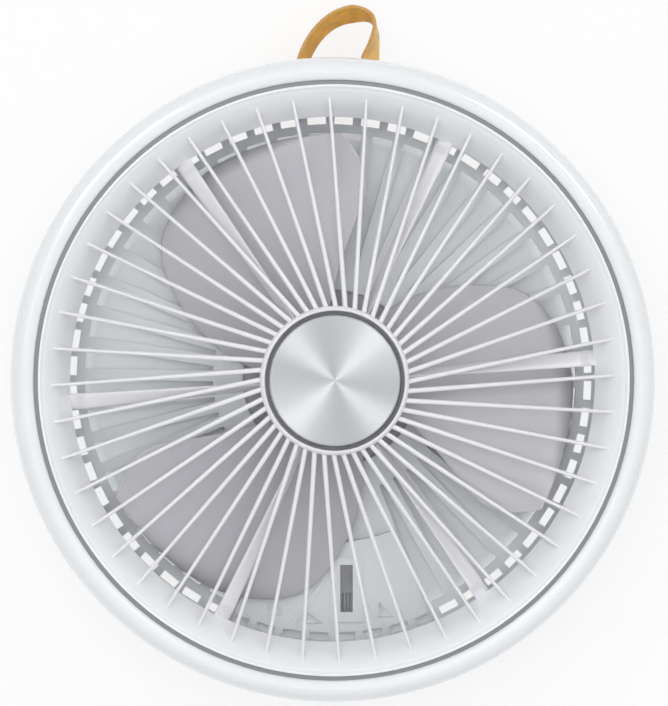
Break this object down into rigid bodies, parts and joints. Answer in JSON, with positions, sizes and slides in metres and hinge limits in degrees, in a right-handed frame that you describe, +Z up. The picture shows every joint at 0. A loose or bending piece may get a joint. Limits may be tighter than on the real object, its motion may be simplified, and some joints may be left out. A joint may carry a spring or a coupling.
{
  "type": "folding camping fan",
  "caption": "Round cordless camping fan whose head folds flat over a disc-shaped battery base, with a ribbed front grille, a leather hanging strap and press buttons.",
  "frame": {"origin": "centre of the ring foot's standing face, on the fan axis of the folded head", "axes": "+Z up along the fan axis, the way the air leaves the folded head; +Y towards the hanging strap, -Y towards the hinge"},
  "size_m": [0.253, 0.2789, 0.08],
  "materials": {
    "gloss_white": "smooth glossy moulded plastic",
    "satin_white": "fine satin moulded plastic",
    "grille_white": "satin moulded plastic",
    "blade_grey": "satin moulded plastic",
    "accent_grey": "dark grey satin ring",
    "spun_aluminium": "spun face with concentric turning lines",
    "rubber_dark": "matt moulded rubber",
    "black_plastic": "matt glass-filled plastic",
    "tan_leather": "smooth tan leather with cut edges",
    "zinc_steel": "zinc plated",
    "bright_steel": "ground steel",
    "core_steel": "dark coated laminations and sintered magnet",
    "copper_wire": "enamelled copper winding",
    "board_green": "solder resist on glass epoxy",
    "cell_wrap": "shrink wrap",
    "clear_light": "frosted clear plastic"
  },
  "bodies": {
    "base": {"base_shell": "satin_white", "base_cover": "gloss_white", "foot_ring": "rubber_dark", "base_screws": "zinc_steel", "battery_holder": "black_plastic", "battery_cells": "cell_wrap", "control_board": "board_green", "usb_socket": "zinc_steel", "board_screws": "zinc_steel", "button_board": "board_green", "tact_switches": "black_plastic", "light_pipes": "clear_light", "strap_anchor": "black_plastic", "hanging_strap": "tan_leather", "hinge_pin": "bright_steel", "friction_washers": "bright_steel", "hinge_caps": "gloss_white"},
    "power_button": {"power_button": "gloss_white"},
    "speed_button": {"speed_button": "gloss_white"},
    "head": {"rear_housing": "satin_white", "housing_screws": "zinc_steel", "hinge_bracket": "satin_white", "bracket_screws": "zinc_steel", "lead_grommet": "rubber_dark", "motor_mount": "black_plastic", "motor_screws": "zinc_steel", "motor_board": "board_green", "stator_core": "core_steel", "stator_coils": "copper_wire", "rear_bearing": "bright_steel", "front_bearing": "bright_steel", "front_grille": "grille_white", "accent_ring": "accent_grey", "bezel_ring": "gloss_white", "hub_trim": "accent_grey", "hub_disc": "spun_aluminium"},
    "rotor": {"impeller": "blade_grey", "rotor_cup": "bright_steel", "magnet_ring": "core_steel", "motor_shaft": "bright_steel", "shaft_clip": "bright_steel", "impeller_nut": "zinc_steel"}
  },
  "joints": [
    {"name": "head_fold", "type": "hinge", "parent": "base", "child": "head", "pos_m": [0, -0.109, 0.026], "axis": [1, 0, 0], "range_deg": [0, 90]},
    {"name": "rotor_spin", "type": "hinge", "parent": "head", "child": "rotor", "pos_m": [0, 0, 0.05], "axis": [0, 0, 1], "continuous": true},
    {"name": "power_press", "type": "slide", "parent": "base", "child": "power_button", "axis": [-1, 0, 0], "range_m": [0, 0.001], "stiffness_N_per_m": 600},
    {"name": "speed_press", "type": "slide", "parent": "base", "child": "speed_button", "axis": [-1, 0, 0], "range_m": [0, 0.001], "stiffness_N_per_m": 600}
  ]
}
